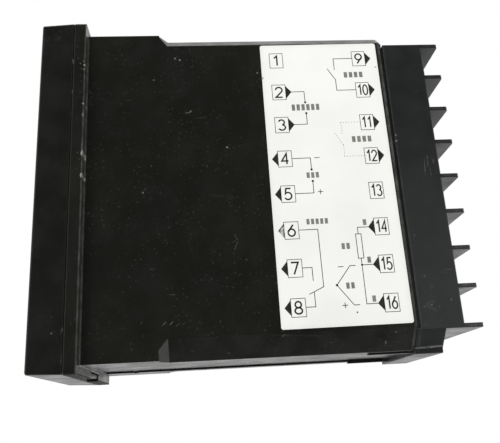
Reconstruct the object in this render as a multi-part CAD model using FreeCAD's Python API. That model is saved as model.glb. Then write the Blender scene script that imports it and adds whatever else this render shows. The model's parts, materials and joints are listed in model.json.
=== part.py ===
"""Panel temperature controller, 48 x 96 DIN front, with a pull-out chassis and sixteen rear screw terminals.

Millimetres. +Z is up, the front looks along -Y and the terminals face +Y. The origin is the centre of the
panel seat, the plane of the flange's rear face. Terminals 1 to 8 are the +X column, 9 to 16 the -X column.
"""
import FreeCAD, Part
import math
import os

Vector = FreeCAD.Vector
os.makedirs("parts", exist_ok=True)

# ---------------------------------------------------------------- driving dimensions
front_width = 48.0
front_height = 96.0
front_corner = 0.8
front_edge_radius = 0.5
bezel_depth = 9.0
bezel_draft = math.radians(2.4)
bezel_wall = 2.4
bezel_front_wall = 1.5
bezel_ledge = 2.0
flange_depth = 3.1
parting_groove = 0.35

flange_border_side = 3.2
flange_border_end = 2.3
case_length = 83.7
case_wall = 2.0
square_length = 18.9
ramp_length = 2.3
upper_chamfer = 3.5
upper_chamfer_start = 0.5
lower_chamfer = 5.4
lower_chamfer_start = 2.6
upper_ramp_delay = 1.0

bracket_channel_margin = 8.8
bracket_channel_depth = 0.5
bracket_channel_start = 1.2
bracket_stop_width = 1.4
bracket_stop_length = 11.5
bracket_notch_place = 9.0
bracket_notch_width = 1.2

terminal_rows = 8
terminal_end_margin = 5.06
block_overhang = 0.4
block_neck = 0.7
block_neck_inset = 1.0
block_plug_length = 3.0
block_plug_wall = 0.5
block_end_wall = 1.55
block_depth = 10.5
block_floor_thickness = 2.5
block_lip = 1.6
block_lip_wall = 1.8
block_edge_radius = 0.4
base_depth = 7.3
base_inset = 0.2
base_upper_height = 3.9
base_foot_height = 1.7
base_foot_half_width = 16.3
base_foot_radius = 0.5
spine_half_width = 4.6
spine_height = 2.4
spine_root = 0.5
barrier_thickness = 1.1
barrier_height = 6.45
barrier_root = 1.0
barrier_tip_radius = 0.6

plate_length = 10.2
plate_width = 7.6
plate_thickness = 0.8
tail_width = 3.0
tail_thickness = 0.8
tail_gap = 0.4
tail_overlap = 5.0
plate_side_gap = 1.7
screw_radius = 1.45
screw_length = 5.6
screw_head_radius = 2.9
screw_head_height = 2.0
washer_side = 7.0
washer_thickness = 0.7

label_width = 33.7
label_end_margin = 5.0
label_thickness = 0.12
label_rear_margin = 1.1
label_center_z = 1.2
label_tilt = 0.4
label_corner = 0.6

sheet_thickness = 0.45
sheet_recess = 0.05
sheet_margin = 3.5
window_side_margin = 3.0
window_height = 33.0
window_top_margin = 7.7
window_flange = 0.5
window_flange_thickness = 0.8

board_thickness = 1.6
display_board_front = -2.0
spigot_wall = 1.2
spigot_end = 2.0
boss_radius = 2.1
boss_inset = 2.6
boss_screw_radius = 0.9
boss_screw_head_radius = 1.9
boss_screw_head_height = 1.2
boss_screw_length = 6.0
boss_root = 0.5

measured_display_inset = 0.8
measured_display_height = 16.0
measured_display_rise = 8.2
set_display_inset = 2.8
set_display_height = 13.0
set_display_drop = 8.8
display_gap = 0.1

led_radius = 1.5
led_side_margin = 7.0
led_drop = 11.8
led_count = 4

key_names = ("set", "shift", "down", "up")
key_spacing = 2.0
key_height = 6.4
key_bottom_margin = 11.5
key_proud = 0.7
key_corner = 0.7
key_bevel = 0.35
key_skirt = 0.8
key_skirt_thickness = 0.8
key_travel = 0.5
key_stem_radius = 1.6
switch_side = 6.0
switch_edge_gap = 0.2
switch_height = 3.5
plunger_radius = 1.75
plunger_length = 2.0
plunger_show = 1.1

board_side_gap = 5.0
board_edge_gap = 1.1
board_rear_gap = 4.7
board_notch_length = 4.0
board_notch_half_width = 1.2
header_side = 2.5
header_half_length = 25.4
guide_rib_width = 1.2
guide_rib_height = 2.5
guide_start = 4.0
guide_rear_gap = 3.7
brace_rear_gap = 8.5
brace_depth = 5.0
brace_wall = 1.6
brace_end_gap = 12.6

transformer_stack = (19.0, 24.0, 29.0)
transformer_front_gap = 12.4
transformer_bottom_gap = 6.1
transformer_leg = 7.5
transformer_yoke = 3.0
coil_margin = 0.3
coil_overhang = 3.0
coil_corner = 2.0

# Each board part: its height off the board, then its sizes along Y and Z
relay_size = (15.5, 10.0, 19.0)
rectifier_size = (6.0, 6.5, 8.5)
fuse_size = (8.0, 8.4, 4.0)
controller_size = (1.6, 14.0, 14.0)
converter_size = (1.4, 6.0, 10.0)
memory_size = (1.4, 5.0, 4.0)
opto_size = (3.5, 6.5, 4.6)
crystal_size = (3.6, 4.5, 11.0)
trimmer_size = (5.0, 9.5, 9.5)
part_bevel = 0.4
chip_bevel = 0.2
crystal_bevel = 1.0
capacitor_radius = 5.0
capacitor_height = 16.0
filter_radius = 4.0
filter_height = 11.0
capacitor_bevel = 0.6
absorber_radius = 4.5
absorber_height = 3.5

# Places of the board parts: behind the display board or ahead of the boards' rear ends, and below the
# top edge, above the bottom edge or above the middle
relay_top_gap = 12.6
relay_spacing = 21.0
output_relay_rear_gap = 23.0
alarm_relay_rear_gap = 35.0
capacitor_place = (24.4, 6.0)
filter_place = (12.4, 14.0)
rectifier_front_gap = 12.4
rectifier_clearance = 1.25
absorber_place = (23.0, 12.6)
fuse_place = (23.0, 30.6)
controller_place = (30.4, 4.0)
memory_place = (30.4, 22.0)
crystal_place = (16.4, 4.0)
converter_place = (29.0, 22.6)
trimmer_place = (33.0, 8.6)
opto_rear_gap = 21.0
opto_heights = (12.0, 22.0)

latch_width = 10.0
latch_thickness = 1.0
latch_length = 2.8

# ---------------------------------------------------------------- clearances
slide_gap = 0.3
fit_gap = 0.1
shaft_gap = 0.05

# ---------------------------------------------------------------- places worked out from them
half_case_x = front_width / 2 - flange_border_side
half_case_z = front_height / 2 - flange_border_end
bezel_rear = -flange_depth
bezel_front = bezel_rear - bezel_depth
cavity_half_x = half_case_x - case_wall
cavity_half_z = half_case_z - case_wall
chamfer_shrink = case_wall * (2 - math.sqrt(2))
sheet_floor = bezel_front + sheet_thickness + sheet_recess
front_wall_rear = sheet_floor + bezel_front_wall
spigot_half_x = cavity_half_x - slide_gap
spigot_half_z = cavity_half_z - slide_gap
display_board_rear = display_board_front + board_thickness
display_front = front_wall_rear + window_flange_thickness + display_gap
display_board_half_x = spigot_half_x - spigot_wall - slide_gap
display_board_half_z = spigot_half_z - spigot_wall - slide_gap
bracket_channel_half = half_case_x - bracket_channel_margin

sheet_half_x = front_width / 2 - sheet_margin
sheet_half_z = front_height / 2 - sheet_margin
window_half_x = sheet_half_x - window_side_margin
window_center_z = sheet_half_z - window_top_margin - window_height / 2
led_z = window_center_z - window_height / 2 - led_drop
led_pitch = 2 * (sheet_half_x - led_side_margin) / (led_count - 1)
key_z = key_bottom_margin - sheet_half_z
key_pitch = 2 * (display_board_half_x - switch_edge_gap - switch_side / 2) / (len(key_names) - 1)
key_width = key_pitch - key_spacing

board_center = cavity_half_x - board_side_gap
board_inner_face = board_center - board_thickness / 2
board_outer_face = board_center + board_thickness / 2
board_half_z = cavity_half_z - board_edge_gap
board_end = case_length - board_rear_gap
brace_half_height = board_half_z - brace_end_gap
brace_center = board_end - brace_rear_gap - brace_depth / 2
transformer_center_y = display_board_rear + transformer_front_gap + transformer_stack[1] / 2
transformer_center_z = transformer_bottom_gap + transformer_stack[2] / 2 - board_half_z

half_block = half_case_x + block_overhang
block_front = case_length + block_neck
block_floor = case_length + block_depth
plate_top = block_floor + plate_thickness
washer_top = plate_top + washer_thickness
half_rows = half_case_z - terminal_end_margin
terminal_pitch = 2 * half_rows / terminal_rows
block_top = half_rows + barrier_thickness / 2
terminal_column = half_block - block_lip_wall - plate_side_gap - plate_length / 2
boss_x = spigot_half_x - spigot_wall - boss_inset
boss_z = spigot_half_z - spigot_wall - boss_inset
switch_front = display_board_front - switch_height
latch_z = (half_case_z + front_height / 2) / 2


# ---------------------------------------------------------------- helpers
def block(x_span, y_span, z_span):
    """A box between the two values of each span."""
    size = Vector(x_span[1] - x_span[0], y_span[1] - y_span[0], z_span[1] - z_span[0])
    return Part.makeBox(size.x, size.y, size.z, Vector(x_span[0], y_span[0], z_span[0]))


def centred(half_x, y_span, half_z, z=0.0, x=0.0):
    """A box centred on x and z, between two values of y."""
    return block((x - half_x, x + half_x), y_span, (z - half_z, z + half_z))


def section(points, y):
    """A closed wire of x, z points in the plane of this y."""
    corners = [Vector(px, y, pz) for px, pz in points]
    return Part.makePolygon(corners + [corners[0]])


def prism(points, y_span):
    """The x, z outline carried along Y."""
    face = Part.Face(section(points, y_span[0]))
    return face.extrude(Vector(0, y_span[1] - y_span[0], 0))


def rod(radius, y_span, x, z):
    """A round rod along Y."""
    return Part.makeCylinder(radius, y_span[1] - y_span[0], Vector(x, y_span[0], z), Vector(0, 1, 0))


def peg(radius, x_span, y, z):
    """A round rod along X."""
    return Part.makeCylinder(radius, x_span[1] - x_span[0], Vector(x_span[0], y, z), Vector(1, 0, 0))


def fuse_all(shapes):
    """One solid from shapes that touch."""
    return shapes[0].multiFuse(shapes[1:]).removeSplitter()


def cut_all(shape, tools):
    """The shape less all the tools."""
    return shape.cut(tools)


def edges_along_y(shape):
    """The straight edges that run along Y."""
    found = []
    for edge in shape.Edges:
        if len(edge.Vertexes) < 2:
            continue
        run = edge.Vertexes[1].Point - edge.Vertexes[0].Point
        if abs(abs(run.y) - edge.Length) < 1e-6 and edge.Length > 1e-6:
            found.append(edge)
    return found


def write(name, solids):
    """One STEP file for a node, of one solid or several."""
    shape = solids[0] if len(solids) == 1 else Part.makeCompound(solids)
    shape.exportStep("parts/" + name + ".step")


def row_z(row):
    """Height of a terminal, row 0 at the top."""
    return half_rows - (row + 0.5) * terminal_pitch


# ---------------------------------------------------------------- case
def corner_tool(side, up, legs, y_values, corner_x, corner_z):
    """What leaves a chamfer of the second leg on one long corner, with a ramp from the first leg."""
    spare = 1.0

    def triangle(leg):
        return [(side * (corner_x + spare), up * (corner_z - leg - spare)),
                (side * (corner_x + spare), up * (corner_z + spare)),
                (side * (corner_x - leg - spare), up * (corner_z + spare))]

    ramp = Part.makeLoft([section(triangle(legs[0]), y_values[0]),
                          section(triangle(legs[1]), y_values[1])], True, True)
    run = prism(triangle(legs[1]), (y_values[1], y_values[2]))
    return [ramp, run]


def corner_tools(shrink, y_shift, y_end, corner_x, corner_z):
    """The four corner cuts of the case's outside, or with shrink those of its cavity."""
    lower_y = (square_length + y_shift, square_length + ramp_length + y_shift, y_end)
    upper_y = (lower_y[0] + upper_ramp_delay, lower_y[1] + upper_ramp_delay, y_end)
    lower = (lower_chamfer_start, lower_chamfer - shrink)
    upper = (upper_chamfer_start, upper_chamfer - shrink)
    tools = []
    for side in (-1, 1):
        tools += corner_tool(side, 1, upper, upper_y, corner_x, corner_z)
        tools += corner_tool(side, -1, lower, lower_y, corner_x, corner_z)
    return tools


def cavity_outline(inset):
    """The chamfered cavity's x, z outline at the rear, drawn in by inset."""
    x = cavity_half_x - inset
    z = cavity_half_z - inset
    upper = upper_chamfer - chamfer_shrink
    lower = lower_chamfer - chamfer_shrink
    return [(x, z - upper), (x - upper, z), (upper - x, z), (-x, z - upper),
            (-x, lower - z), (lower - x, -z), (x - lower, -z), (x, lower - z)]


def case_shell():
    """Sleeve with its flange, corner chamfers, guide ribs and the bracket's channels."""
    flange = centred(front_width / 2, (bezel_rear, 0), front_height / 2)
    flange = flange.makeFillet(front_corner, edges_along_y(flange))
    body = centred(half_case_x, (bezel_rear, case_length), half_case_z)
    shell = cut_all(body, corner_tools(0, 0, case_length + 1, half_case_x, half_case_z))
    shell = fuse_all([flange, shell])
    cavity = centred(cavity_half_x, (bezel_rear - 1, case_length + 1), cavity_half_z)
    cavity = cut_all(cavity, corner_tools(chamfer_shrink, -case_wall, case_length + 2,
                                          cavity_half_x, cavity_half_z))
    shell = shell.cut(cavity)
    channels = []
    for up in (-1, 1):
        outer = up * (half_case_z + 1)
        inner = up * (half_case_z - bracket_channel_depth)
        z_span = (min(outer, inner), max(outer, inner))
        channels.append(block((-bracket_channel_half, bracket_channel_half),
                              (bracket_channel_start, case_length + 1), z_span))
        wide = bracket_channel_half + bracket_stop_width
        notch_end = bracket_notch_place + bracket_notch_width
        channels.append(block((-wide, wide), (bracket_notch_place, notch_end), z_span))
    shell = cut_all(shell, channels)
    extras = []
    for up in (-1, 1):
        for side in (-1, 1):
            x = side * (bracket_channel_half + bracket_stop_width / 2)
            extras.append(centred(bracket_stop_width / 2, (case_length - bracket_stop_length, case_length),
                                  bracket_channel_depth, up * half_case_z, x))
            for away in (-1, 1):
                offset = board_thickness / 2 + slide_gap + guide_rib_width / 2
                rib_x = side * (board_center + away * offset)
                rib_z = up * (cavity_half_z - guide_rib_height / 2 + fit_gap)
                extras.append(centred(guide_rib_width / 2, (guide_start, case_length - guide_rear_gap),
                                      guide_rib_height / 2 + fit_gap, rib_z, rib_x))
    shell = fuse_all([shell] + extras)
    latch_gap = latch_width / 2 + slide_gap
    notch = block((-latch_gap, latch_gap), (bezel_rear - 1, 1),
                  (-front_height / 2 - 1, -latch_z + latch_thickness / 2 + slide_gap))
    return shell.cut(notch)


def label():
    """The wiring label on the +X side: a thin card with rounded corners, stuck a little askew."""
    x = half_case_x
    rear = case_length - label_rear_margin
    half_height = half_case_z - label_end_margin
    card = block((x, x + label_thickness), (rear - label_width, rear),
                 (label_center_z - half_height, label_center_z + half_height))
    corners = [edge for edge in card.Edges if abs(edge.Length - label_thickness) < 1e-6]
    card = card.makeFillet(label_corner, corners)
    card.rotate(Vector(x, rear - label_width / 2, label_center_z), Vector(1, 0, 0), label_tilt)
    return card


# ---------------------------------------------------------------- terminal block
def barrier(z):
    """One full-width barrier between two terminals, flush with the walls, with its outer corners rounded."""
    tip = block_floor + barrier_height
    blade = centred(half_block, (block_floor - barrier_root, tip), barrier_thickness / 2, z)
    corners = [edge for edge in blade.Edges
               if abs(edge.Length - barrier_thickness) < 1e-6 and edge.CenterOfMass.y > tip - 1e-6]
    return blade.makeFillet(barrier_tip_radius, corners)


def stepped_base():
    """The base under the lowest barrier: the case's chamfered outline carried on, and a foot along it."""
    y_span = (case_length, case_length + base_depth)
    step = -block_top - base_upper_height
    upper = prism(cavity_outline(base_inset - case_wall), y_span)
    upper = upper.common(block((-half_block, half_block), y_span, (step - base_foot_radius, -half_rows)))
    half = base_foot_half_width
    foot = block((-half, half), y_span, (step - base_foot_height, step))
    foot = foot.makeFillet(base_foot_radius, edges_along_y(foot))
    return [upper, foot]


def terminal_block():
    """The rear moulding: a plug in the case, two rows of cells, their barriers and the stepped base."""
    plug = prism(cavity_outline(fit_gap), (case_length - block_plug_length, case_length))
    neck = prism(cavity_outline(block_neck_inset - case_wall), (case_length, block_front))
    body = centred(half_block, (block_front, block_floor + block_lip), block_top)
    rear_edges = [edge for edge in body.Edges if abs(edge.Length - 2 * block_top) < 1e-6
                  and edge.CenterOfMass.y > block_floor]
    body = body.makeFillet(block_edge_radius, rear_edges)
    shape = fuse_all([plug, neck, body] + stepped_base())
    cells = []
    outer = half_block - block_lip_wall
    for side in (-1, 1):
        x_span = (min(side * spine_half_width, side * outer), max(side * spine_half_width, side * outer))
        cells.append(block(x_span, (block_floor, block_floor + block_lip + 1), (-half_rows, half_rows)))
    shape = cut_all(shape, cells)
    spine = centred(spine_half_width, (block_floor - spine_root, block_floor + spine_height), block_top)
    barriers = [barrier(half_rows - i * terminal_pitch) for i in range(terminal_rows + 1)]
    shape = fuse_all([shape, spine] + barriers)
    floor_front = block_floor - block_floor_thickness
    holes = [centred(cavity_half_x - fit_gap - block_plug_wall,
                     (case_length - block_plug_length - 1, floor_front), block_top - block_end_wall)]
    for side in (-1, 1):
        for row in range(terminal_rows):
            z = row_z(row)
            holes.append(rod(screw_radius + fit_gap, (floor_front - 1, block_floor + 1),
                             side * terminal_column, z))
            holes.append(tail_block(side, z, fit_gap, (floor_front - 1, block_floor + 1)))
    return cut_all(shape, holes)


def tail_block(side, z, gap, y_span):
    """The straight tail of a terminal, or with a gap the slot that it passes through."""
    x = side * (board_outer_face + tail_gap + tail_thickness / 2)
    return centred(tail_thickness / 2 + gap, y_span, tail_width / 2 + gap, z, x)


def terminal_plate(side, z):
    """A plate under the screw, with the tail that reaches forward to the board's edge."""
    center = side * terminal_column
    plate = centred(plate_length / 2, (block_floor, plate_top), plate_width / 2, z, center)
    tail = tail_block(side, z, 0, (board_end - tail_overlap, block_floor + plate_thickness / 2))
    hole = rod(screw_radius + shaft_gap, (block_floor - 1, plate_top + 1), center, z)
    return plate.fuse(tail).removeSplitter().cut(hole)


def washer(side, z):
    """A square clamping washer."""
    x = side * terminal_column
    plate = centred(washer_side / 2, (plate_top, washer_top), washer_side / 2, z, x)
    return plate.cut(rod(screw_radius + shaft_gap, (plate_top - 1, washer_top + 1), x, z))


def screw(radius, head_radius, head_height, length, seat, x, z):
    """A screw that enters towards -Y, its head resting on seat."""
    bevel = head_height * 0.35
    outline = Part.makePolygon([Vector(0, seat - length, 0), Vector(radius, seat - length, 0),
                                Vector(radius, seat, 0), Vector(head_radius, seat, 0),
                                Vector(head_radius, seat + head_height - bevel, 0),
                                Vector(head_radius - bevel, seat + head_height, 0),
                                Vector(0, seat + head_height, 0), Vector(0, seat - length, 0)])
    face = Part.Face(outline)
    shape = face.revolve(Vector(0, 0, 0), Vector(0, 1, 0), 360)
    shape.translate(Vector(x, 0, z))
    return shape


# ---------------------------------------------------------------- chassis front
def bezel_outline(y):
    """Half width and half height of the drafted bezel at this y."""
    drawn_in = (bezel_rear - y) * math.tan(bezel_draft)
    return front_width / 2 - drawn_in, front_height / 2 - drawn_in


def rounded_section(half_x, half_z, y, radius):
    """A closed wire of a rectangle with round corners."""
    corners = ((1, 1), (-1, 1), (-1, -1), (1, -1))
    edges = []
    previous = None
    first = None
    for index, (sx, sz) in enumerate(corners):
        center = Vector(sx * (half_x - radius), y, sz * (half_z - radius))
        start_angle = math.radians(90 * index)
        points = [center + Vector(radius * math.cos(start_angle + math.radians(step)), 0,
                                  radius * math.sin(start_angle + math.radians(step)))
                  for step in (0, 45, 90)]
        if previous is not None:
            edges.append(Part.makeLine(previous, points[0]))
        else:
            first = points[0]
        edges.append(Part.Arc(*points).toShape())
        previous = points[2]
    edges.append(Part.makeLine(previous, first))
    return Part.Wire(edges)


def key_x(index):
    """Place of a key across the front."""
    return (index - (len(key_names) - 1) / 2) * key_pitch


def led_x(index):
    """Place of an indicator across the front."""
    return (index - (led_count - 1) / 2) * led_pitch


def window_cut(grow, y_span):
    """The display window's opening, or with grow the window itself."""
    return centred(window_half_x + grow, y_span, window_height / 2 + grow, window_center_z)


def bezel_frame():
    """The drafted front frame with its openings, rear ledge, spigot, bosses and latch tongue."""
    front_x, front_z = bezel_outline(bezel_front)
    groove_front = bezel_rear - parting_groove
    rear_x, rear_z = bezel_outline(groove_front)
    shell = Part.makeLoft([rounded_section(front_x, front_z, bezel_front, front_corner),
                           rounded_section(rear_x, rear_z, groove_front, front_corner)], True, True)
    front_edges = [edge for edge in shell.Edges if abs(edge.CenterOfMass.y - bezel_front) < 1e-6]
    shell = shell.makeFillet(front_edge_radius, front_edges)
    seat = centred(rear_x - parting_groove, (groove_front, bezel_rear), rear_z - parting_groove)
    spigot = centred(spigot_half_x, (bezel_rear, spigot_end), spigot_half_z)
    latch = block((-latch_width / 2, latch_width / 2), (groove_front, bezel_rear + latch_length),
                  (-latch_z - latch_thickness / 2, -latch_z + latch_thickness / 2))
    shell = fuse_all([shell, seat, spigot, latch])
    ledge_front = bezel_rear - bezel_ledge
    pocket_x, pocket_z = bezel_outline(bezel_front)
    tools = [centred(pocket_x - bezel_wall, (front_wall_rear, ledge_front), pocket_z - bezel_wall),
             centred(spigot_half_x - spigot_wall, (ledge_front - 1, spigot_end + 1),
                     spigot_half_z - spigot_wall),
             centred(sheet_half_x + fit_gap, (bezel_front - 1, sheet_floor), sheet_half_z + fit_gap),
             window_cut(fit_gap, (bezel_front - 1, front_wall_rear + 1))]
    for index in range(len(key_names)):
        tools.append(centred(key_width / 2 + slide_gap, (bezel_front - 1, front_wall_rear + 1),
                             key_height / 2 + slide_gap, key_z, key_x(index)))
    for index in range(led_count):
        tools.append(rod(led_radius + fit_gap, (bezel_front - 1, front_wall_rear + 1), led_x(index), led_z))
    shell = cut_all(shell, tools)
    bosses = []
    holes = []
    for side in (-1, 1):
        for up in (-1, 1):
            bosses.append(rod(boss_radius, (front_wall_rear - boss_root, display_board_front),
                              side * boss_x, up * boss_z))
            holes.append(rod(boss_screw_radius + shaft_gap,
                             (display_board_front - boss_screw_length, display_board_front + 1),
                             side * boss_x, up * boss_z))
    return cut_all(fuse_all([shell] + bosses), holes)


def front_sheet():
    """The thin front sheet with its openings."""
    sheet = centred(sheet_half_x, (sheet_floor - sheet_thickness, sheet_floor), sheet_half_z)
    y_span = (bezel_front - 1, sheet_floor + 1)
    tools = [window_cut(fit_gap, y_span)]
    for index in range(len(key_names)):
        tools.append(centred(key_width / 2 + slide_gap, y_span, key_height / 2 + slide_gap,
                             key_z, key_x(index)))
    for index in range(led_count):
        tools.append(rod(led_radius + fit_gap, y_span, led_x(index), led_z))
    return cut_all(sheet, tools)


def display_window():
    """The tinted window, held by its flange against the back of the front wall."""
    pane = window_cut(0, (sheet_floor - sheet_thickness, front_wall_rear + window_flange_thickness / 2))
    flange = window_cut(window_flange, (front_wall_rear, front_wall_rear + window_flange_thickness))
    return fuse_all([pane, flange])


def display_module(inset, height, z):
    """A four-digit display module, from behind the window to the display board."""
    half_x = spigot_half_x - spigot_wall - inset
    return centred(half_x, (display_front, display_board_front), height / 2, z)


def display_board():
    """The board behind the bezel that carries the displays, indicators and key switches."""
    board = centred(display_board_half_x, (display_board_front, display_board_rear), display_board_half_z)
    holes = [rod(boss_screw_radius + fit_gap, (display_board_front - 1, display_board_rear + 1),
                 side * boss_x, up * boss_z) for side in (-1, 1) for up in (-1, 1)]
    return cut_all(board, holes)


def indicator(index):
    """A round indicator with a tapered tip in its hole of the bezel."""
    tip = bezel_front + sheet_thickness
    taper = led_radius / 2
    cone = Part.makeCone(led_radius - taper, led_radius, taper, Vector(led_x(index), tip, led_z),
                         Vector(0, 1, 0))
    return fuse_all([cone, rod(led_radius, (tip + taper, display_board_front), led_x(index), led_z)])


def key_cap(index):
    """A key with its retaining skirt behind the front wall and its stem."""
    x = key_x(index)
    skirt_front = front_wall_rear + fit_gap
    cap = centred(key_width / 2, (bezel_front - key_proud, skirt_front + key_skirt_thickness),
                  key_height / 2, key_z, x)
    cap = cap.makeFillet(key_corner, edges_along_y(cap))
    front_edges = [edge for edge in cap.Edges if abs(edge.CenterOfMass.y - bezel_front + key_proud) < 1e-6]
    cap = cap.makeChamfer(key_bevel, front_edges)
    skirt = centred(key_width / 2 + key_skirt, (skirt_front, skirt_front + key_skirt_thickness),
                    key_height / 2 + key_skirt, key_z, x)
    stem = rod(key_stem_radius, (skirt_front, switch_front - plunger_show), x, key_z)
    return fuse_all([cap, skirt, stem])


def key_switch(index):
    """A push switch on the display board, with the bore that its plunger moves in."""
    x = key_x(index)
    body = centred(switch_side / 2, (switch_front, display_board_front), switch_side / 2, key_z, x)
    depth = plunger_length - plunger_show + key_travel + fit_gap
    return body.cut(rod(plunger_radius + shaft_gap, (switch_front - 1, switch_front + depth), x, key_z))


def plunger(index):
    """The switch's plunger, which moves with its key."""
    front = switch_front - plunger_show
    return rod(plunger_radius, (front, front + plunger_length), key_x(index), key_z)


# ---------------------------------------------------------------- chassis boards
def circuit_board(side, tooth_rows):
    """A board along the case in its guide ribs, with edge contacts between notches at the rear."""
    x = side * board_center
    start = display_board_rear
    board = centred(board_thickness / 2, (start, board_end), board_half_z, 0, x)
    notches = []
    for row in range(tooth_rows - 1):
        z = (row_z(row) + row_z(row + 1)) / 2
        notches.append(centred(board_thickness, (board_end - board_notch_length, board_end + 1),
                               board_notch_half_width, z, x))
    shoulder = boss_z - boss_screw_head_radius - slide_gap
    corners = [block((x - board_thickness, x + board_thickness), (start - 1, spigot_end + slide_gap),
                     (min(up * shoulder, up * front_height), max(up * shoulder, up * front_height)))
               for up in (-1, 1)]
    return cut_all(board, notches + corners)


def header_row(side):
    """The angled pin header that joins a circuit board to the display board."""
    inner = side * board_inner_face
    outer = side * (board_inner_face - header_side)
    x_span = (min(inner, outer), max(inner, outer))
    return block(x_span, (display_board_rear, display_board_rear + header_side),
                 (-header_half_length, header_half_length))


def rear_brace():
    """The plastic frame that holds the two circuit boards apart."""
    y_span = (brace_center - brace_depth / 2, brace_center + brace_depth / 2)
    outer = centred(board_inner_face, y_span, brace_half_height)
    hole = (brace_half_height - 1.5 * brace_wall) / 2
    tools = [centred(board_inner_face - brace_wall, (y_span[0] - 1, y_span[1] + 1), hole,
                     up * (hole + brace_wall / 2)) for up in (-1, 1)]
    return cut_all(outer, tools)


def transformer_core():
    """The laminated core: a stack with two windows, on the power board."""
    height, depth, width = transformer_stack
    x_span = (-board_inner_face, -board_inner_face + height)
    stack = block(x_span, (transformer_center_y - depth / 2, transformer_center_y + depth / 2),
                  (transformer_center_z - width / 2, transformer_center_z + width / 2))
    window = width / 2 - transformer_leg
    middle = (transformer_leg + window) / 2
    windows = [block((x_span[0] + transformer_yoke, x_span[1] - transformer_yoke),
                     (transformer_center_y - depth, transformer_center_y + depth),
                     (transformer_center_z + up * middle - window / 2,
                      transformer_center_z + up * middle + window / 2)) for up in (-1, 1)]
    return cut_all(stack, windows)


def transformer_coil():
    """The winding round the core's middle leg."""
    height, depth, width = transformer_stack
    window = width / 2 - transformer_leg
    x_span = (transformer_yoke + coil_margin - board_inner_face,
              height - transformer_yoke - coil_margin - board_inner_face)
    half_z = transformer_leg / 2 + window - coil_margin
    half_y = depth / 2 + coil_overhang
    coil = block(x_span, (transformer_center_y - half_y, transformer_center_y + half_y),
                 (transformer_center_z - half_z, transformer_center_z + half_z))
    coil = coil.makeFillet(coil_corner, [edge for edge in coil.Edges
                                         if abs(edge.Length - (x_span[1] - x_span[0])) < 1e-6])
    leg = block((x_span[0] - 1, x_span[1] + 1),
                (transformer_center_y - depth / 2 - fit_gap, transformer_center_y + depth / 2 + fit_gap),
                (transformer_center_z - transformer_leg / 2 - fit_gap,
                 transformer_center_z + transformer_leg / 2 + fit_gap))
    return coil.cut(leg)


def on_board(side, size, y, z, bevel=part_bevel):
    """A component body that stands inward from a circuit board."""
    height, size_y, size_z = size
    inner = side * board_inner_face
    tip = side * (board_inner_face - height)
    body = block((min(inner, tip), max(inner, tip)), (y - size_y / 2, y + size_y / 2),
                 (z - size_z / 2, z + size_z / 2))
    top = [edge for edge in body.Edges if abs(edge.CenterOfMass.x - tip) < 1e-6]
    return body.makeChamfer(bevel, top)


def capacitor(place, radius, height):
    """An electrolytic can on the power board, placed from the display board and the middle."""
    y, z = from_front(*place)
    can = peg(radius, (-board_inner_face, -board_inner_face + height), y, z)
    rim = [edge for edge in can.Edges if abs(edge.CenterOfMass.x + board_inner_face - height) < 1e-6
           and len(edge.Vertexes) == 1]
    return can.makeChamfer(capacitor_bevel, rim)


def from_front(gap, z):
    """The y, z place of a part this far behind the display board."""
    return display_board_rear + gap, z


def from_lower_rear(gap, rise):
    """The y, z place of a part this far ahead of the boards' ends and above their bottom edges."""
    return board_end - gap, rise - board_half_z


# ---------------------------------------------------------------- nodes
write("case_shell", [case_shell()])
write("terminal_block", [terminal_block()])
write("wiring_label", [label()])

places = [(side, row_z(row)) for side in (1, -1) for row in range(terminal_rows)]
write("terminals", [terminal_plate(side, z) for side, z in places])
write("screw_washers", [washer(side, z) for side, z in places])
write("terminal_screws", [screw(screw_radius, screw_head_radius, screw_head_height, screw_length, washer_top,
                                side * terminal_column, z)
                          for side, z in places])

write("bezel_frame", [bezel_frame()])
write("front_sheet", [front_sheet()])
write("display_window", [display_window()])
write("display_board", [display_board()])
write("board_screws", [screw(boss_screw_radius, boss_screw_head_radius, boss_screw_head_height,
                             boss_screw_length, display_board_rear, side * boss_x, up * boss_z)
                       for side in (-1, 1) for up in (-1, 1)])
write("measured_value_display", [display_module(measured_display_inset, measured_display_height,
                                                window_center_z + measured_display_rise)])
write("set_value_display", [display_module(set_display_inset, set_display_height,
                                           window_center_z - set_display_drop)])
write("indicator_lamps", [indicator(index) for index in range(led_count)])
write("key_switches", [key_switch(index) for index in range(len(key_names))])
for index, name in enumerate(key_names):
    write("key_" + name, [key_cap(index)])
    write("plunger_" + name, [plunger(index)])

write("power_board", [circuit_board(-1, terminal_rows)])
write("control_board", [circuit_board(1, terminal_rows)])
write("board_headers", [header_row(-1), header_row(1)])
write("rear_brace", [rear_brace()])
write("transformer_core", [transformer_core()])
write("transformer_coil", [transformer_coil()])
relay_z = board_half_z - relay_top_gap
rectifier_z = (transformer_center_z + transformer_stack[2] / 2 + rectifier_clearance + rectifier_size[2] / 2)
write("output_relay", [on_board(-1, relay_size, board_end - output_relay_rear_gap, relay_z)])
write("alarm_relays", [on_board(-1, relay_size, board_end - alarm_relay_rear_gap, relay_z - drop)
                       for drop in (0, relay_spacing)])
write("supply_capacitors", [capacitor(capacitor_place, capacitor_radius, capacitor_height),
                            capacitor(filter_place, filter_radius, filter_height)])
write("bridge_rectifier", [on_board(-1, rectifier_size, *from_front(rectifier_front_gap, rectifier_z))])
write("surge_absorber", [peg(absorber_radius, (-board_inner_face, absorber_height - board_inner_face),
                             *from_lower_rear(*absorber_place))])
write("supply_fuse", [on_board(-1, fuse_size, *from_lower_rear(*fuse_place))])
write("controller_chip", [on_board(1, controller_size, *from_front(*controller_place), chip_bevel)])
write("memory_chip", [on_board(1, memory_size, *from_front(*memory_place), chip_bevel)])
write("clock_crystal", [on_board(1, crystal_size, *from_front(*crystal_place), crystal_bevel)])
write("converter_chip", [on_board(1, converter_size, *from_lower_rear(*converter_place), chip_bevel)])
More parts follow.
